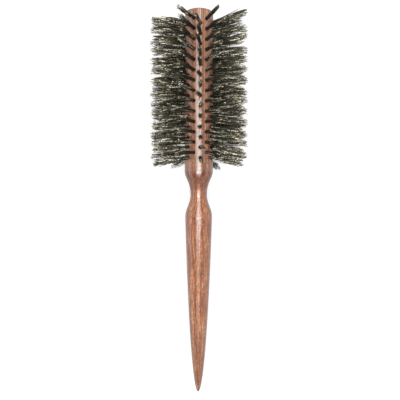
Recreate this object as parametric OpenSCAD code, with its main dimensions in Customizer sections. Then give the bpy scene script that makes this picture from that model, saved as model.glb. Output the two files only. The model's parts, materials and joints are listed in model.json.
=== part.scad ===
// Round hair brush: one turned wooden body, its barrel drilled with rows of blind holes,
// and in each hole a tuft of bristle that is folded over a small metal anchor.
// The brush lies on its bristles, with its axis along Y and the barrel's end towards +Y.

/* [Barrel] */
// Diameter of the barrel
barrel_d = 17; // [16:0.5:20]
// Plain wood between the barrel's end and the first ring of tufts
end_margin = 6; // [4:0.5:10]
// Plain wood between the last ring of tufts and the shoulder
land_l = 8; // [6:0.5:14]
// Radius that breaks the edge of the barrel's end
end_round = 0.8; // [0.3:0.1:2]

/* [Handle] */
// Length of the handle, from the shoulder to the tip
handle_l = 133; // [110:0.5:160]
// Diameter of the neck
neck_d = 10; // [8:0.2:13]
// Distance of the neck below the shoulder
neck_drop = 15; // [11:0.2:20]
// Diameter of the swell below the neck
swell_d = 16.2; // [14:0.2:20]
// Distance of the swell below the neck
swell_drop = 12.6; // [9:0.2:18]
// Radius of the round tip
tip_r = 0.7; // [0.6:0.1:2.5]
// Half angle of the point behind the tip
tip_angle = 31; // [15:1:40]
// Length over which the shoulder stays close to the barrel's width
shoulder_ease = 5.2; // [2:0.1:6]
// Length over which the neck stays slim on the shoulder's side
neck_ease_up = 9; // [4:0.1:10]
// Length over which the neck stays slim on the handle's side
neck_ease_down = 4.3; // [2:0.1:6]
// Length over which the swell stays full on the neck's side
swell_ease_up = 4.2; // [1:0.1:5]
// Length over which the swell stays full on the handle's side
swell_ease_down = 1.5; // [1:0.5:30]
// Length over which the point keeps its angle
tip_ease = 9.5; // [5:0.5:20]

/* [Tufts] */
// Rows of tufts round the barrel, an even number so that neighbours can be staggered
rows = 14; // [12:2:16]
// Tufts in each row
tufts = 14; // [10:1:15]
// Distance between the tufts of a row
pitch = 6; // [5:0.25:7]
// Diameter over the trimmed bristle tips
bristle_d = 57.4; // [44:0.2:66]
// Tangential width of a strand where it leaves its hole
strand_w = 1.2; // [0.8:0.1:1.4]
// Gap between a tuft's two strands where they leave their hole
strand_gap = 0.16; // [0.1:0.02:0.3]
// Depth to which a strand runs into its packed root
root_sink = 0.3; // [0.2:0.05:0.4]
// Tangential width of a strand at its trimmed tip
tip_w = 1; // [0.5:0.1:1.4]
// Thickness of a strand at its trimmed tip, along the brush
tip_t = 0.7; // [0.4:0.1:1]
// Distance between the tips of a tuft's two strands
tip_spread = 3; // [2:0.1:3.5]
// Lean towards the handle of the tufts next to it, at the brush's sides and below, in degrees
lean_low = 14; // [0:1:14]
// Lean towards the barrel's end of the tufts next to it, at the brush's sides and below, in degrees
lean_top = 11; // [0:1:14]
// Length over which the lean dies out along the barrel
lean_reach = 9; // [6:0.5:18]
// Depth to which the tips that carry the brush are pressed flat
rest_flat = 0.5; // [0.2:0.1:1]

/* [Holes and anchors] */
// Diameter of a tuft's hole
hole_d = 2.2; // [1.9:0.05:2.4]
// Depth of a tuft's hole
hole_depth = 5; // [4.4:0.1:5.5]
// Clearance of the packed bristle in its hole
tuft_gap = 0.05; // [0.02:0.01:0.1]
// Thickness of the bristle's fold between the anchor and the bottom of the hole
fold_t = 0.7; // [0.4:0.1:0.8]
// Thickness of an anchor's flat wire
anchor_t = 0.4; // [0.25:0.05:0.5]
// Height of an anchor along its hole
anchor_h = 1.4; // [1:0.1:1.5]
// Depth to which each end of an anchor bites into the wood
anchor_bite = 0.25; // [0.15:0.05:0.3]
// Clearance all round an anchor
anchor_gap = 0.02; // [0.01:0.01:0.05]
// Wood between an anchor and the slice of the barrel that ties a row of tufts
slice_cover = 0.5; // [0.3:0.1:0.6]
// Thickness of that slice along the holes
slice_t = 0.9; // [0.6:0.1:1]
// Width of that slice across the row
slice_w = 1.2; // [0.8:0.1:1.5]

/* [Hidden] */
$fn = 32;
turn_fn = 96;
curve_steps = 24;
arc_steps = 6;
over = 1;
barrel_r = barrel_d / 2;
neck_r = neck_d / 2;
swell_r = swell_d / 2;
trim_r = bristle_d / 2;
stagger = pitch / 2;
tufted_l = (tufts - 1) * pitch + stagger;
barrel_l = end_margin + tufted_l + land_l;
length = handle_l + barrel_l;
neck_z = handle_l - neck_drop;
swell_z = neck_z - swell_drop;
first_z = length - end_margin;
last_z = first_z - tufted_l;
row_angle = 360 / rows;
lowest = trim_r * cos(row_angle / 2) + tip_w / 2 * sin(row_angle / 2);
rest_h = lowest - rest_flat;
hole_r = hole_d / 2;
hole_floor = barrel_r - hole_depth;
plug_r = hole_r - tuft_gap;
plug_floor = hole_floor + tuft_gap;
plug_top = sqrt(pow(barrel_r, 2) - pow(hole_r, 2));
anchor_floor = plug_floor + fold_t;
anchor_l = hole_d + 2 * anchor_bite;
slice_floor = anchor_floor + anchor_h + slice_cover;
strand_root = plug_top - root_sink;
strand_in = strand_gap / 2;
strand_out = sqrt(pow(plug_r, 2) - pow(strand_w / 2, 2)) - tuft_gap;

function two_digits(i) = i < 10 ? str("0", i) : str(i);
function tuft_name(i) = str("tuft_row_", two_digits(i));
function anchor_name(i) = str("anchor_row_", two_digits(i));

// Height over the tip of tuft k of row i: even rows sit half a pitch lower
function tuft_z(i, k) = first_z - (k - 1) * pitch - (i % 2 == 0 ? stagger : 0);

// Turn of row i about the brush's axis
function row_turn(i) = 90 + (i - 0.5) * row_angle;

// Lean of tuft k of row i: full at either end of the tufted length and none in its middle,
// and less in the rows on top of the brush
function fade(distance) = max(0, 1 - distance / lean_reach);
function lean(i, k) =
    let (z = tuft_z(i, k), share = min(1, 1 + sin(row_turn(i))))
    share * (lean_top * fade(first_z - z) - lean_low * fade(z - last_z));

// Points of a cubic curve, without its first point
function curve(p0, p1, p2, p3) = [
    for (s = [1 : curve_steps])
        let (t = s / curve_steps, q = 1 - t)
        q * q * q * p0 + 3 * q * q * t * p1 + 3 * q * t * t * p2 + t * t * t * p3
];

// Points of an arc about [cx, cz], from angle a0 to angle a1
function arc(cx, cz, r, a0, a1) = [
    for (s = [0 : arc_steps])
        let (a = a0 + (a1 - a0) * s / arc_steps)
        [cx + r * cos(a), cz + r * sin(a)]
];

// Half outline of the turned body as [radius, height over the tip]
nose = arc(0, tip_r, tip_r, -90, -tip_angle);
nose_end = nose[arc_steps];
body_outline = concat(
    nose,
    curve(
        nose_end,
        nose_end + tip_ease * [sin(tip_angle), cos(tip_angle)],
        [swell_r, swell_z - swell_ease_down],
        [swell_r, swell_z]
    ),
    curve(
        [swell_r, swell_z],
        [swell_r, swell_z + swell_ease_up],
        [neck_r, neck_z - neck_ease_down],
        [neck_r, neck_z]
    ),
    curve(
        [neck_r, neck_z],
        [neck_r, neck_z + neck_ease_up],
        [barrel_r, handle_l - shoulder_ease],
        [barrel_r, handle_l]
    ),
    arc(barrel_r - end_round, length - end_round, end_round, 0, 90),
    [[0, length]]
);

// Lays the brush down: the turning axis goes from Z to Y, and the tips meet the ground
module lay_down() {
    translate([0, -length / 2, rest_h])
        rotate([-90, 0, 0])
            children();
}

// Row i's own frame: X out along the holes, Y across the row, Z along the brush
module row_frame(i) {
    rotate([0, 0, row_turn(i)])
        children();
}

// A copy at each tuft of row i
module each_tuft(i) {
    for (k = [1 : tufts])
        translate([0, 0, tuft_z(i, k)])
            children();
}

// Round stretch along a hole, between two distances from the brush's axis
module along_hole(r, from, to) {
    translate([from, 0, 0])
        rotate([0, 90, 0])
            cylinder(r = r, h = to - from);
}

// Flat wire across a hole, grown by a clearance on every side
module anchor(grow) {
    translate([anchor_floor - grow, -anchor_l / 2 - grow, -anchor_t / 2 - grow])
        cube([anchor_h + 2 * grow, anchor_l + 2 * grow, anchor_t + 2 * grow]);
}

// Slice of the barrel that ties the tufts of row i together, grown by a clearance
module row_slice(i, grow) {
    translate([slice_floor - grow, -slice_w / 2 - grow, tuft_z(i, tufts)])
        cube([slice_t + 2 * grow, slice_w + 2 * grow, (tufts - 1) * pitch]);
}

// Four-sided strand from inside the packed root to the trimmed tip;
// side is 1 or -1 for the two strands of a tuft
module strand(side, tilt) {
    reach = (trim_r - barrel_r) * tan(tilt);
    tip_z = reach + side * tip_spread / 2;
    near = side > 0 ? strand_in : -strand_out;
    far = side > 0 ? strand_out : -strand_in;
    function ring(x, w, z0, z1) = [[x, -w, z0], [x, w, z0], [x, w, z1], [x, -w, z1]];
    root = ring(strand_root, strand_w / 2, near, far);
    tip = ring(trim_r, tip_w / 2, tip_z - tip_t / 2, tip_z + tip_t / 2);
    sides = [
        for (c = [0 : 3])
            let (d = (c + 1) % 4)
            each [[c, c + 4, d], [d, c + 4, d + 4]]
    ];
    polyhedron(concat(root, tip), concat([[0, 1, 2], [0, 2, 3], [4, 6, 5], [4, 7, 6]], sides));
}

// Turned body with the holes, the seats of the anchors and the seats of the slices
module turned_body() {
    color("#9a5a3c")
        lay_down()
            difference() {
                rotate_extrude($fn = turn_fn)
                    polygon(body_outline);
                for (i = [1 : rows])
                    row_frame(i) {
                        each_tuft(i) {
                            along_hole(hole_r, hole_floor, barrel_r + over);
                            anchor(anchor_gap);
                        }
                        row_slice(i, tuft_gap);
                    }
            }
}

// Row of tufts: packed roots with a window for the anchor, two strands each, and the slice
module tuft_row(i) {
    color("#2e2a26")
        difference() {
            lay_down()
                row_frame(i) {
                    difference() {
                        each_tuft(i)
                            along_hole(plug_r, plug_floor, plug_top);
                        each_tuft(i)
                            anchor(anchor_gap);
                    }
                    row_slice(i, 0);
                    for (k = [1 : tufts], side = [-1, 1])
                        translate([0, 0, tuft_z(i, k)])
                            strand(side, lean(i, k));
                }
            translate([-bristle_d, -length, -bristle_d])
                cube([2 * bristle_d, 2 * length, bristle_d]);
        }
}

// Row of anchors, one across the bottom of each hole
module anchor_row(i) {
    color("silver")
        lay_down()
            row_frame(i)
                each_tuft(i)
                    anchor(0);
}

turned_body();
for (i = [1 : rows]) {
    tuft_row(i);
    anchor_row(i);
}
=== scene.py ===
"""Looks of a round hair brush: lacquered hardwood body, boar bristle tufts and steel anchors."""
import json
import math
import random

import bmesh
import bpy
from mathutils import Matrix, Vector


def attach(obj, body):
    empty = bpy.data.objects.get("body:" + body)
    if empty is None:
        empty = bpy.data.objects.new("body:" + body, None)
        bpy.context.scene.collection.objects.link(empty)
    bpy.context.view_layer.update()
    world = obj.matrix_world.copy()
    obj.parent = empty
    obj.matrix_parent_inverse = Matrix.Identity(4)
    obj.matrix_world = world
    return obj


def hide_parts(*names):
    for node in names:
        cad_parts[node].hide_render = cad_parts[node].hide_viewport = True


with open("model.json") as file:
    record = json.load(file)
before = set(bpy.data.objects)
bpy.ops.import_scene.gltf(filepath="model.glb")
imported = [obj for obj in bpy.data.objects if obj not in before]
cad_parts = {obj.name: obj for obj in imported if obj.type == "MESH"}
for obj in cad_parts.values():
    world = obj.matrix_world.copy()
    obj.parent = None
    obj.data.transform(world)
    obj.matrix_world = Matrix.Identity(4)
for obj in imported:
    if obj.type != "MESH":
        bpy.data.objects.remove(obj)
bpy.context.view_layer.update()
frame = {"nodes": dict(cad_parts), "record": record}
scene = bpy.context.scene
scene.view_settings.view_transform = "Standard"

MM = 0.001

# The brush lies along Y: its axis passes through the middle of the barrel's end face.
barrel_end = next(m for m in frame["record"]["mounts"] if m["name"] == "barrel_end")
AXIS_Z = barrel_end["pos_m"][2]
END_Y = barrel_end["pos_m"][1]
TIP_Y = -END_Y

# Sizes of the bristle rows, in millimetres, as in the part.
ROWS = 14
TUFTS = 14
PITCH = 6.0
FIRST_D = 6.0
LAST_D = FIRST_D + (TUFTS - 0.5) * PITCH
BARREL_R = 8.5
TRIM_R = 28.7
TUFT_L = TRIM_R - BARREL_R

# Lean in degrees of the first and the last tufts of a row, and the length over which it dies out along
# the barrel. It grows from the top of the barrel to its sides; LEAN_FROM is the depth where it starts.
LEAN_FIRST = 17.0
LEAN_LAST = 11.0
LEAN_REACH = 9.0
LEAN_FROM = 0.22
# Lean apart of the rows above and below the two level ones, which fills the gaps between their tufts.
SPLAY = 13.0
# How far use has swept each row round the barrel, in degrees, at the barrel's end and at the handle.
SWEPT_AT_END = (3, 2, 2, 2, 2, 2, 1, 10, 12, 6, 3, 3, 3, 3)
SWEPT_AT_HANDLE = (3, -7, 2, 2, 2, 2, 2, 3, 6, 4, 3, 3, 3, 10)

# One bristle: four sides and six lengths, with a root just above its anchor. Real bristles are about
# 0.2 mm thick; these are drawn thicker, the blond ones most of all, and fewer, so that they show.
BRISTLES = 66
SIDES = 4
STEPS = 6
ROOT_SINK = 2.6
BUNDLE_R = 1.0
BLACK_R = (0.11, 0.18)
BLOND_R = (0.26, 0.38)
# Width of each length as a share of the one below it, and how late along its length a bristle bends.
TIP_SHRINK = 0.91
LATE_BEND = 1.3
# Turn from one bristle of a tuft to the next, which spaces their roots evenly.
ROOT_TURN = math.radians(137.508)
# Length of the longest bristles as a share of their tuft's, and what wear and an outer place take off.
LONGEST, WORN_OFF, OUTER_LESS = 1.08, 0.46, 0.15
# The bristles in a narrow sector of a tuft turn blond at one place along their length, or never.
SECTORS = 66
TURNS_BLOND = (-0.1, 0.85)
NEVER = 2.0
# Tips gather into locks, by this share of the way to the middle of a lock.
LOCKS = 5
LOCK_R = 0.65
GATHER = 0.5
# Disorder of the bristles for each unit of their tuft's fan; stray ones are looser than the others.
WIDEN = (0.8, 1.2)
TIP_DRIFT, BOW, WAVE = 0.3, 0.15, 0.11
STRAYS, STRAY_DRIFT = 0.35, 1.35
# How many tufts of each kind the rows choose from, and the seed of every random draw.
TEMPLATES = 12
SEED = 14
# How far the tips of a tuft spread, and its share of blond bristles: some rows are combed tight, with
# a lean in degrees of their own.
COMBED_ROWS = {7: 0.0, 8: -4.0, 9: -5.0}
TIGHT, TIGHT_BLOND = 1.3, 0.12
LOOSE, LOOSE_BLOND = 2.8, 0.3
# How much single tufts differ in lean, in combed rows and in the others, and in sweep, in degrees.
COMBED_DRIFT, LEAN_DRIFT, SWEEP_DRIFT = 1.5, 3.0, 2.0
FLOOR_GAP = 0.05 * MM

# Wood: the radius in millimetres that its grain is pressed towards, and the middle of the tree's growth
# rings, in metres from the brush's axis.
GRAIN_R = 8.3
PITH = (-0.024, 0.0, -0.015)
# Changes of its finish, and of painted shade, along Y: where each starts, where it is complete, its
# strength there, and how it sets in.
FINISH_AND_SHADE = {
    # over_neck and under_land bound the painted shade in the hollow below the shoulder
    "over_neck": (5.0 * MM, 12.0 * MM, 1.0, "SMOOTHSTEP"),
    "under_land": (20.5 * MM, 18.0 * MM, 1.0, "SMOOTHSTEP"),
    # the barrel greyer and duller than the handle
    "greyer_barrel": (17.0 * MM, 20.0 * MM, 0.25, "SMOOTHSTEP"),
    # painted shade towards the tip
    "shaded_taper": (TIP_Y + 35.0 * MM, TIP_Y + 3.0 * MM, 0.28, "LINEAR"),
    "very_tip": (TIP_Y + 3.0 * MM, TIP_Y + 1.5 * MM, 0.92, "SMOOTHSTEP"),
    "dark_end": (END_Y - 0.5 * MM, END_Y - 0.05 * MM, 0.45, "SMOOTHSTEP"),
    "end_grain": (END_Y - 0.2 * MM, END_Y - 0.05 * MM, 1.0, "LINEAR"),
}

# Camera: it looks down on the brush, square to its axis, and turned a little to one side.
VIEW_FOOT_Y = 0.0314
VIEW_DISTANCE = 0.205
VIEW_TURN = math.radians(7.5)
VIEW_ROLL = math.radians(0.16)
VIEW_SIDE = 0.00072
LENS = 30.6
SHIFT_Y = -0.125

# Light: strip softboxes over the brush, end to end, one box at its left and one at its far end. Each
# strip has its middle along the brush, its length and its watts; places and sizes are in metres. The
# short bright strip gives the neck its white spark.
STRIPS = ((0.18, 0.14, 0.4), (0.045, 0.13, 0.47), (-0.04, 0.04, 0.3), (-0.0925, 0.065, 0.25),
          (-0.25, 0.25, 0.25))
STRIP_X = 0.046
STRIP_Z = 0.36
STRIP_WIDTH = 0.22
SIDE = (-0.5, 0.0, 0.3)
SIDE_SIZE = (0.3, 0.8)
SIDE_WATTS = 0.38
FAR = (0.0, 0.6, 0.45)
FAR_SIZE = (0.5, 0.5)
FAR_WATTS = 0.4
# Room: its even light, and the ceiling as a mirror sees it. Floor: its own glow as the camera sees it and
# as a mirror does, and the half of its side in metres.
ROOM_LEVEL = 0.18
CEILING = 0.22
FLOOR_GLOW, MIRRORED_GLOW = 0.75, 0.4
FLOOR_HALF = 3.0

# Sockets of a Mix node that take and give colours, and vectors.
MIX_A, MIX_B, MIX_OUT = 6, 7, 2
VECTOR_A, VECTOR_B, VECTOR_OUT = 4, 5, 1


def linear(hex_colour):
    """Linear RGBA from an sRGB hex colour."""
    channels = []
    for i in (1, 3, 5):
        c = int(hex_colour[i:i + 2], 16) / 255
        channels.append(c / 12.92 if c <= 0.04045 else ((c + 0.055) / 1.055) ** 2.4)
    return (*channels, 1.0)


def add(tree, kind, inputs=None, stops=None, **settings):
    """Adds a node with its settings; an input is a plain value or the socket that feeds it, and the stops
    of a colour ramp are pairs of a position and a hex colour."""
    n = tree.nodes.new(kind)
    for key, value in settings.items():
        setattr(n, key, value)
    for name, value in (inputs or {}).items():
        if isinstance(value, bpy.types.NodeSocket):
            tree.links.new(value, n.inputs[name])
        else:
            n.inputs[name].default_value = value
    if stops:
        elements = n.color_ramp.elements
        elements.remove(elements[-1])
        elements[0].position, elements[0].color = stops[0][0], linear(stops[0][1])
        for position, colour in stops[1:]:
            elements.new(position).color = linear(colour)
    return n


def start_material(name):
    """Empty node tree of a new material, with its shader and output."""
    mat = bpy.data.materials.new(name)
    mat.use_nodes = True
    tree = mat.node_tree
    tree.nodes.clear()
    shader = add(tree, "ShaderNodeBsdfPrincipled")
    add(tree, "ShaderNodeOutputMaterial", {"Surface": shader.outputs["BSDF"]})
    return mat, tree, shader


def lacquered_hardwood():
    """Turned reddish hardwood under clear gloss lacquer: fine dark streaks run along the axis, mottled by
    short pores, and the lacquer gives soft bright highlights, and a little of the room at its rims."""
    mat, tree, shader = start_material("lacquered_hardwood")
    coords = add(tree, "ShaderNodeTexCoord")
    place = add(tree, "ShaderNodeSeparateXYZ", {"Vector": coords.outputs["Object"]})
    finish_and_shade = {}
    for name, (start, complete, strength, onset) in FINISH_AND_SHADE.items():
        change = add(tree, "ShaderNodeMapRange", {"Value": place.outputs["Y"], "From Min": start,
                     "From Max": complete, "To Max": strength}, interpolation_type=onset)
        finish_and_shade[name] = change.outputs["Result"]
    # the grain of a solid, but pressed towards one radius, so that slopes don't break it up into flecks
    from_axis = add(tree, "ShaderNodeVectorMath", {0: coords.outputs["Object"], 1: (0.0, 0.0, -AXIS_Z)},
                    operation="ADD")
    radial = add(tree, "ShaderNodeVectorMath", {0: from_axis.outputs["Vector"], 1: (1.0, 0.0, 1.0)},
                 operation="MULTIPLY")
    unit = add(tree, "ShaderNodeVectorMath", {0: radial.outputs["Vector"]}, operation="NORMALIZE")
    on_round = add(tree, "ShaderNodeVectorMath", {0: unit.outputs["Vector"],
                   1: (GRAIN_R * MM, 0.0, GRAIN_R * MM), 2: from_axis.outputs["Vector"]},
                   operation="MULTIPLY_ADD")
    # the flat end cuts across the grain: growth rings about 1 mm apart, round a pith outside the brush
    from_pith = add(tree, "ShaderNodeVectorMath", {0: radial.outputs["Vector"], 1: PITH},
                    operation="DISTANCE")
    on_ring = add(tree, "ShaderNodeCombineXYZ", {"X": from_pith.outputs["Value"]})
    grain_place = add(tree, "ShaderNodeMix", {"Factor": finish_and_shade["end_grain"],
                      VECTOR_A: on_round.outputs["Vector"], VECTOR_B: on_ring.outputs["Vector"]},
                      data_type="VECTOR")
    pore_place = add(tree, "ShaderNodeMix", {"Factor": finish_and_shade["end_grain"],
                     VECTOR_A: on_round.outputs["Vector"], VECTOR_B: from_axis.outputs["Vector"]},
                     data_type="VECTOR")
    # streaks about 0.6 mm apart and 13 mm long, once the two halves of that sum are counted
    streak_at = add(tree, "ShaderNodeMapping", {"Vector": grain_place.outputs[VECTOR_OUT],
                    "Scale": (800.0, 75.0, 800.0)})
    streaks = add(tree, "ShaderNodeTexNoise", {"Vector": streak_at.outputs["Vector"],
                  "Scale": 1.0, "Detail": 5.0, "Roughness": 0.65, "Distortion": 0.3})
    streak_colour = add(tree, "ShaderNodeValToRGB", {"Fac": streaks.outputs["Fac"]},
                        stops=[(0.3, "#5c2a0c"), (0.43, "#925028"), (0.55, "#b07349"), (0.68, "#dbac8a")])
    # pores about 1 mm wide and 1.5 mm long, coarser than real ones so that they show
    pore_at = add(tree, "ShaderNodeMapping", {"Vector": pore_place.outputs[VECTOR_OUT],
                  "Scale": (450.0, 650.0, 450.0)})
    pores = add(tree, "ShaderNodeTexNoise", {"Vector": pore_at.outputs["Vector"],
                "Scale": 1.0, "Detail": 2.0, "Roughness": 0.6})
    pore_level = add(tree, "ShaderNodeMapRange", {"Value": pores.outputs["Fac"], "From Min": 0.3,
                     "From Max": 0.7, "To Min": 0.52, "To Max": 1.48})
    with_pores = add(tree, "ShaderNodeVectorMath", {0: streak_colour.outputs["Color"],
                     "Scale": pore_level.outputs["Result"]}, operation="SCALE")
    # slow change of tone over about 30 mm
    tone = add(tree, "ShaderNodeTexNoise", {"Vector": coords.outputs["Object"],
               "Scale": 33.0, "Detail": 1.0})
    tone_colour = add(tree, "ShaderNodeValToRGB", {"Fac": tone.outputs["Fac"]},
                      stops=[(0.3, "#e6d8d0"), (0.7, "#ffffff")])
    toned = add(tree, "ShaderNodeMix", {"Factor": 1.0, MIX_A: with_pores.outputs["Vector"],
                MIX_B: tone_colour.outputs["Color"]}, data_type="RGBA", blend_type="MULTIPLY")
    # painted shade darkens the hollow below the shoulder
    hollow_shade_mask = add(tree, "ShaderNodeMath", {0: finish_and_shade["over_neck"], 1: finish_and_shade["under_land"]},
                 operation="MULTIPLY")
    with_hollow_shade = add(tree, "ShaderNodeMix", {"Factor": hollow_shade_mask.outputs["Value"], MIX_A: toned.outputs[MIX_OUT],
                  MIX_B: linear("#c6a57a")}, data_type="RGBA", blend_type="MULTIPLY")
    # the barrel is greyer and duller than the handle
    dulled = add(tree, "ShaderNodeMix", {"Factor": finish_and_shade["greyer_barrel"],
                 MIX_A: with_hollow_shade.outputs[MIX_OUT], MIX_B: linear("#86766e")}, data_type="RGBA")
    # painted shade darkens the taper slowly towards the tip, and the very tip and the barrel's end face,
    # where end grain drinks the stain, are darker still
    low = add(tree, "ShaderNodeMath", {0: finish_and_shade["very_tip"], 1: finish_and_shade["shaded_taper"]}, operation="MAXIMUM")
    ends = add(tree, "ShaderNodeMath", {0: low.outputs["Value"], 1: finish_and_shade["dark_end"]},
               operation="MAXIMUM")
    colour = add(tree, "ShaderNodeMix", {"Factor": ends.outputs["Value"],
                 MIX_A: dulled.outputs[MIX_OUT], MIX_B: linear("#3a2015")}, data_type="RGBA")
    tree.links.new(colour.outputs[MIX_OUT], shader.inputs["Base Color"])
    bump = add(tree, "ShaderNodeBump", {"Height": pores.outputs["Fac"], "Strength": 0.5,
               "Distance": 0.1 * MM})
    tree.links.new(bump.outputs["Normal"], shader.inputs["Normal"])
    tree.links.new(bump.outputs["Normal"], shader.inputs["Coat Normal"])
    # the sealed wood under the lacquer has a wide soft sheen of its own
    shader.inputs["Roughness"].default_value = 0.45
    shader.inputs["Specular IOR Level"].default_value = 0.15
    shader.inputs["Coat Weight"].default_value = 1.0
    shader.inputs["Coat IOR"].default_value = 1.85
    shader.inputs["Coat Roughness"].default_value = 0.2
    return mat


def boar_bristle():
    """Boar bristle: almost black keratin with a faint waxy sheen, greyer towards its split tip; some
    bristles turn from black to tan or cream along their length, in flecks that are partly painted glints."""
    mat, tree, shader = start_material("boar_bristle")
    along, shade, blond = (add(tree, "ShaderNodeAttribute", attribute_name=name).outputs["Fac"]
                           for name in ("along", "shade", "blond_from"))
    dark = add(tree, "ShaderNodeValToRGB", {"Fac": along},
               stops=[(0.0, "#10110b"), (0.45, "#2e2f24"), (0.85, "#3f3e2f"), (1.0, "#524d39")])
    level = add(tree, "ShaderNodeMapRange", {"Value": shade, "To Min": 0.3, "To Max": 2.25})
    black = add(tree, "ShaderNodeVectorMath", {0: dark.outputs["Color"], "Scale": level.outputs["Result"]},
                operation="SCALE")
    pale = add(tree, "ShaderNodeValToRGB", {"Fac": shade},
               stops=[(0.0, "#dfc9a0"), (0.2, "#fdf5dc"), (1.0, "#fffdf2")])
    # a bristle is blond from its own place on, for about half its length
    past = add(tree, "ShaderNodeMath", {0: along, 1: blond}, operation="SUBTRACT")
    turned = add(tree, "ShaderNodeMapRange", {"Value": past.outputs["Value"], "From Max": 0.08})
    back = add(tree, "ShaderNodeMapRange", {"Value": past.outputs["Value"], "From Min": 0.62,
               "From Max": 0.56})
    blond_part = add(tree, "ShaderNodeMath", {0: turned.outputs["Result"], 1: back.outputs["Result"]},
                     operation="MULTIPLY")
    # flecks about 1 mm long: partly the bristles' own pale colour, partly painted glints
    coords = add(tree, "ShaderNodeTexCoord")
    patches = add(tree, "ShaderNodeTexNoise", {"Vector": coords.outputs["Object"], "Scale": 1200.0,
                  "Detail": 1.0})
    fleck_and_glint_mask = add(tree, "ShaderNodeMapRange", {"Value": patches.outputs["Fac"], "From Min": 0.46,
               "From Max": 0.48})
    flecks = add(tree, "ShaderNodeMath", {0: blond_part.outputs["Value"], 1: fleck_and_glint_mask.outputs["Result"]},
                 operation="MULTIPLY")
    colour = add(tree, "ShaderNodeMix", {"Factor": flecks.outputs["Value"],
                 MIX_A: black.outputs["Vector"], MIX_B: pale.outputs["Color"]}, data_type="RGBA")
    tree.links.new(colour.outputs[MIX_OUT], shader.inputs["Base Color"])
    shader.inputs["Roughness"].default_value = 0.45
    shader.inputs["Specular IOR Level"].default_value = 0.3
    return mat


def drawn_steel():
    """Flat steel anchor wire: drawn through a die, so bright but not mirror-like, with an uneven sheen."""
    mat, tree, shader = start_material("drawn_steel_wire")
    coords = add(tree, "ShaderNodeTexCoord")
    # scuffs about 0.1 mm apart
    drawn = add(tree, "ShaderNodeTexNoise", {"Vector": coords.outputs["Object"], "Scale": 10000.0,
                "Detail": 1.0})
    rough = add(tree, "ShaderNodeMapRange", {"Value": drawn.outputs["Fac"], "To Min": 0.22,
                "To Max": 0.4})
    tree.links.new(rough.outputs["Result"], shader.inputs["Roughness"])
    shader.inputs["Base Color"].default_value = linear("#b9bbbd")
    shader.inputs["Metallic"].default_value = 1.0
    return mat


def bristle_tuft(rng, fan, blonds):
    """Mesh of one tuft along +Z, in millimetres, with its hole's rim at Z = 0, tips that spread by the fan
    and that share of blonds. Each vertex keeps its place along its bristle, its bristle's shade, and the
    place where that bristle turns blond."""
    bm = bmesh.new()
    along, shade, blond = (bm.verts.layers.float.new(name) for name in ("along", "shade", "blond_from"))
    blond_places = [rng.uniform(*TURNS_BLOND) if rng.random() < blonds else NEVER for _ in range(SECTORS)]
    bristles = []
    for n in range(BRISTLES):
        turn = n * ROOT_TURN
        blond_from = blond_places[int(turn / math.tau * SECTORS) % SECTORS]
        thick = rng.uniform(*(BLACK_R if blond_from == NEVER else BLOND_R))
        spread = (BUNDLE_R - thick) * math.sqrt((n + 0.5) / BRISTLES)
        root = Vector((spread * math.cos(turn), spread * math.sin(turn), -ROOT_SINK))
        drift = TIP_DRIFT * fan * (STRAY_DRIFT if rng.random() < STRAYS else 1.0)
        reach = LONGEST - WORN_OFF * rng.random() ** 2 - OUTER_LESS * spread / BUNDLE_R
        widen = fan * rng.uniform(*WIDEN)
        own = Vector((root.x * widen + rng.gauss(0, drift), root.y * widen + rng.gauss(0, drift)))
        lock = (int(turn / math.tau * LOCKS) + 0.5) * math.tau / LOCKS
        tip = own.lerp(Vector((math.cos(lock), math.sin(lock))) * LOCK_R * fan, GATHER).to_3d()
        tip.z = TUFT_L * reach
        bow = Vector((rng.gauss(0, BOW * fan), rng.gauss(0, BOW * fan), 0))
        wave = Vector((rng.gauss(0, WAVE * fan), rng.gauss(0, WAVE * fan), 0))
        # painted shade: the fan scales each bristle's tone, so the tight tufts of the combed rows on top
        # of the barrel are darker
        tone_and_painted_shade = rng.random() * fan / LOOSE
        ring = bmesh.ops.create_circle(bm, cap_ends=True, segments=SIDES, radius=thick,
                                       matrix=Matrix.Translation(root))["verts"]
        for v in ring:
            v[shade] = tone_and_painted_shade
            v[blond] = blond_from
        bristles.append((root, tip, bow, wave))
    ends = list(bm.faces)
    for step in range(1, STEPS + 1):
        t = step / STEPS
        bend = t ** LATE_BEND
        for_bow, for_wave = math.sin(math.pi * t) * bend, math.sin(math.tau * t) * t
        ends = bmesh.ops.extrude_discrete_faces(bm, faces=ends)["faces"]
        for end, (root, tip, bow, wave) in zip(ends, bristles):
            here = root.lerp(tip, bend) + bow * for_bow + wave * for_wave
            here.z = root.z + (tip.z - root.z) * t
            bmesh.ops.translate(bm, verts=end.verts, vec=here - end.calc_center_median())
            bmesh.ops.scale(bm, verts=end.verts, vec=(TIP_SHRINK, TIP_SHRINK, 1),
                            space=Matrix.Translation(-here))
            for v in end.verts:
                v[along] = t
    bmesh.ops.holes_fill(bm, edges=[e for e in bm.edges if e.is_boundary], sides=SIDES)
    bmesh.ops.recalc_face_normals(bm, faces=bm.faces)
    mesh = bpy.data.meshes.new("tuft")
    bm.to_mesh(mesh)
    bm.free()
    return mesh


def tuft_lean(distance, depth):
    """Lean in degrees of the tuft at that distance from the barrel's end: towards the end at the first
    tufts, and towards the handle at the last. Depth is 0 on top of the barrel, 1 at its sides."""
    at_first = max(0.0, 1 - (distance - FIRST_D) / LEAN_REACH)
    at_last = max(0.0, 1 - (LAST_D - distance) / LEAN_REACH)
    return (LEAN_FIRST * (min(depth, 1 + LEAN_FROM) - LEAN_FROM) * at_first
            - LEAN_LAST * depth * at_last)


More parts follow.
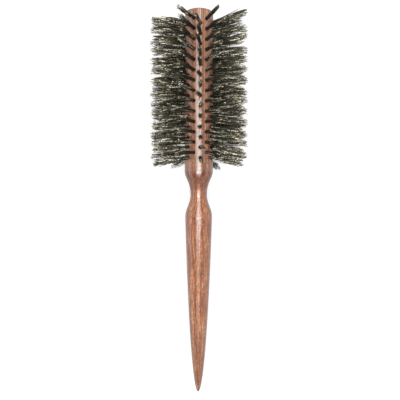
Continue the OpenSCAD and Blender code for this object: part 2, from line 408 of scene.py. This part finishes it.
def bristle_row(i, combed, loose, rng):
    """Row i of tufts, each chosen from the combed or the loose ones: even rows sit half a pitch further
    from the barrel's end."""
    turn = math.radians(90 + (i - 0.5) * 360 / ROWS)
    out = Vector((math.cos(turn), 0.0, -math.sin(turn)))
    along = Vector((0.0, 1.0, 0.0))
    row_axes = Matrix((along, out.cross(along), out)).transposed().to_4x4()
    tight = i in COMBED_ROWS
    bm = bmesh.new()
    for k in range(TUFTS):
        distance = FIRST_D + k * PITCH + (PITCH / 2 if i % 2 == 0 else 0)
        lean = tuft_lean(distance, 1 - out.z) + rng.gauss(0, COMBED_DRIFT if tight else LEAN_DRIFT)
        lean += COMBED_ROWS[i] if tight else -SPLAY * out.z * abs(out.x)
        swept = SWEPT_AT_END[i - 1] + (SWEPT_AT_HANDLE[i - 1] - SWEPT_AT_END[i - 1]) * k / (TUFTS - 1)
        sway = math.radians(rng.gauss(swept, SWEEP_DRIFT))
        place = (Matrix.Translation((0, END_Y - distance * MM, AXIS_Z)) @ row_axes @ Matrix.Scale(MM, 4)
                 @ Matrix.Translation((0, 0, BARREL_R))
                 @ Matrix.Shear("XY", 4, (math.tan(math.radians(lean)), math.tan(sway)))
                 @ Matrix.Rotation(rng.uniform(0, math.tau), 4, "Z"))
        first = len(bm.verts)
        bm.from_mesh(rng.choice(combed if tight else loose))
        bm.verts.ensure_lookup_table()
        bmesh.ops.transform(bm, matrix=place, verts=bm.verts[first:])
    for v in bm.verts:
        v.co.z = max(v.co.z, FLOOR_GAP)
    for f in bm.faces:
        f.smooth = True
    mesh = bpy.data.meshes.new(f"bristle_row_{i:02d}")
    bm.to_mesh(mesh)
    bm.free()
    row = bpy.data.objects.new(mesh.name, mesh)
    scene.collection.objects.link(row)
    return row


def softbox(name, size, place, aim, watts):
    """Rectangular studio light at a place, turned to face a point, with its length along the brush."""
    lamp = bpy.data.lights.new(name, "AREA")
    lamp.shape = "RECTANGLE"
    lamp.size, lamp.size_y = size
    lamp.energy = watts
    box = bpy.data.objects.new(name, lamp)
    scene.collection.objects.link(box)
    back = (Vector(place) - Vector(aim)).normalized()
    across = Vector((0.0, 1.0, 0.0)).cross(back).normalized()
    axes = Matrix((across, back.cross(across), back)).transposed().to_4x4()
    box.matrix_world = Matrix.Translation(place) @ axes


def seen_directly(tree):
    """Socket that is 1 for what the camera sees straight, in a mirror or through glass."""
    path = add(tree, "ShaderNodeLightPath")
    seen = add(tree, "ShaderNodeMath", {0: path.outputs["Is Camera Ray"],
               1: path.outputs["Is Glossy Ray"]}, operation="MAXIMUM")
    seen = add(tree, "ShaderNodeMath", {0: seen.outputs["Value"],
               1: path.outputs["Is Transmission Ray"]}, operation="MAXIMUM")
    return seen.outputs["Value"]


def white_floor():
    """Matt white floor that keeps the brush's shadow: it glows by itself for the camera, so that it stays
    white, and more faintly for mirrors, so that the rims of the lacquer don't go pale."""
    mat = bpy.data.materials.new("matt_white_floor")
    mat.use_nodes = True
    tree = mat.node_tree
    tree.nodes.clear()
    matt = add(tree, "ShaderNodeBsdfDiffuse", {"Color": linear("#c0c0c0")})
    shaded = add(tree, "ShaderNodeBsdfDiffuse", {"Color": linear("#a0a0a0")})
    path = add(tree, "ShaderNodeLightPath")
    glow_level = add(tree, "ShaderNodeMapRange", {"Value": path.outputs["Is Glossy Ray"],
                     "To Min": FLOOR_GLOW, "To Max": MIRRORED_GLOW})
    glow = add(tree, "ShaderNodeEmission", {"Color": linear("#ffffff"),
               "Strength": glow_level.outputs["Result"]})
    lit = add(tree, "ShaderNodeAddShader", {0: shaded.outputs["BSDF"], 1: glow.outputs["Emission"]})
    both = add(tree, "ShaderNodeMixShader", {0: seen_directly(tree), 1: matt.outputs["BSDF"],
               2: lit.outputs["Shader"]})
    add(tree, "ShaderNodeOutputMaterial", {"Surface": both.outputs["Shader"]})
    bm = bmesh.new()
    bmesh.ops.create_grid(bm, x_segments=1, y_segments=1, size=FLOOR_HALF)
    mesh = bpy.data.meshes.new("floor")
    bm.to_mesh(mesh)
    bm.free()
    floor = bpy.data.objects.new("floor", mesh)
    floor.data.materials.append(mat)
    scene.collection.objects.link(floor)
    return floor


def studio_room():
    """White room: an even pale light, which the camera and mirrors see as white walls under a dim
    ceiling."""
    room = bpy.data.worlds.new("white_room")
    room.use_nodes = True
    tree = room.node_tree
    tree.nodes.clear()
    towards = add(tree, "ShaderNodeTexCoord").outputs["Generated"]
    height = add(tree, "ShaderNodeSeparateXYZ", {"Vector": towards}).outputs["Z"]
    walls = add(tree, "ShaderNodeMapRange", {"Value": height, "From Min": 0.35, "From Max": 0.7,
                "To Min": 1.0, "To Max": CEILING}, interpolation_type="SMOOTHSTEP")
    level = add(tree, "ShaderNodeMapRange", {"Value": seen_directly(tree), "To Min": ROOM_LEVEL,
                "To Max": walls.outputs["Result"]})
    light = add(tree, "ShaderNodeBackground", {"Color": linear("#ffffff"),
                "Strength": level.outputs["Result"]})
    add(tree, "ShaderNodeOutputWorld", {"Surface": light.outputs["Background"]})
    scene.world = room


def viewer():
    """Camera at the photograph's viewing angle."""
    lens = bpy.data.cameras.new("viewer")
    lens.lens = LENS
    lens.shift_y = SHIFT_Y
    lens.clip_start = 0.01
    camera = bpy.data.objects.new("viewer", lens)
    scene.collection.objects.link(camera)
    camera.matrix_world = (Matrix.Translation((VIEW_SIDE, VIEW_FOOT_Y, AXIS_Z))
                           @ Matrix.Rotation(VIEW_TURN, 4, "Y") @ Matrix.Rotation(VIEW_ROLL, 4, "Z")
                           @ Matrix.Translation((0, 0, VIEW_DISTANCE)))
    scene.camera = camera


wood = lacquered_hardwood()
bristle = boar_bristle()
steel = drawn_steel()

for name, node in frame["nodes"].items():
    for slot in node.material_slots:
        slot.material = steel if name.startswith("anchor") else wood

rng = random.Random(SEED)
combed = [bristle_tuft(rng, TIGHT, TIGHT_BLOND) for _ in range(TEMPLATES)]
loose = [bristle_tuft(rng, LOOSE, LOOSE_BLOND) for _ in range(TEMPLATES)]
for i in range(1, ROWS + 1):
    row = bristle_row(i, combed, loose, rng)
    row.data.materials.append(bristle)
    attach(row, "root")
    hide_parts(f"tuft_row_{i:02d}")
for mesh in combed + loose:
    bpy.data.meshes.remove(mesh)

viewer()
studio_room()
for middle, length, watts in STRIPS:
    softbox("strip", (STRIP_WIDTH, length), (STRIP_X, middle, STRIP_Z), (0.0, middle, AXIS_Z), watts)
softbox("side", SIDE_SIZE, SIDE, (0.0, 0.0, AXIS_Z), SIDE_WATTS)
softbox("far", FAR_SIZE, FAR, (0.0, 0.0, AXIS_Z), FAR_WATTS)
white_floor()
